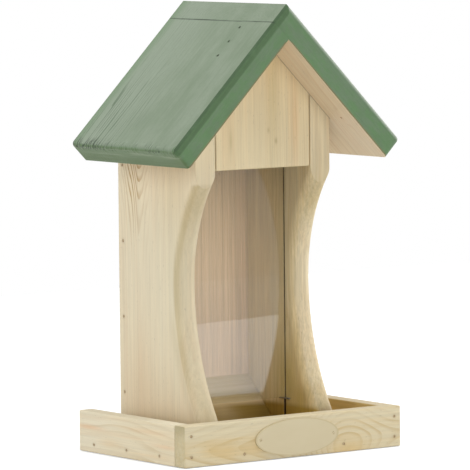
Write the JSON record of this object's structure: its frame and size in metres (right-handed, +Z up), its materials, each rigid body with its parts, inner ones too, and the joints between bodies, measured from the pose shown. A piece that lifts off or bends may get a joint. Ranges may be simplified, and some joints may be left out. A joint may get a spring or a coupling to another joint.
{
  "type": "wall-mounted bird feeder",
  "caption": "Wooden hopper bird feeder for a wall: clear pane between curved side boards, sloping seed chute, open railed tray and a painted lift-off gable roof.",
  "frame": {"origin": "bottom centre of the whole feeder, on the tray's underside", "axes": "+Z up to the ridge, +Y towards the wall, so the tray's front rail faces -Y; +X to the viewer's right"},
  "size_m": [0.2012, 0.134, 0.328],
  "materials": {
    "pine": "raw planed pine",
    "roof_paint": "green stain, raw underside",
    "acrylic": "clear sheet",
    "nail_steel": "dull bright",
    "label": "matte"
  },
  "bodies": {
    "feeder": {"left_side_board": "pine", "right_side_board": "pine", "back_board": "pine", "left_back_nails": "nail_steel", "right_back_nails": "nail_steel", "seed_chute": "pine", "chute_nails": "nail_steel", "left_pane_staple": "nail_steel", "right_pane_staple": "nail_steel", "tray_floor": "pine", "tray_front_rail": "pine", "tray_left_rail": "pine", "tray_right_rail": "pine", "rail_corner_nails": "nail_steel", "front_rail_nails": "nail_steel", "left_rail_nails": "nail_steel", "right_rail_nails": "nail_steel", "base_nails": "nail_steel", "label_plate": "label", "label_pins": "nail_steel"},
    "roof": {"left_roof_board": "roof_paint", "right_roof_board": "roof_paint", "front_gable_panel": "pine", "gable_nails": "nail_steel", "ridge_nails": "nail_steel"},
    "pane": {"clear_pane": "acrylic"}
  },
  "joints": [
    {"name": "roof_lift", "type": "slide", "parent": "feeder", "child": "roof", "axis": [0, 0, 1], "range_m": [0, 0.1]},
    {"name": "pane_lift", "type": "slide", "parent": "feeder", "child": "pane", "axis": [0, 0, 1], "range_m": [0, 0.004]}
  ]
}
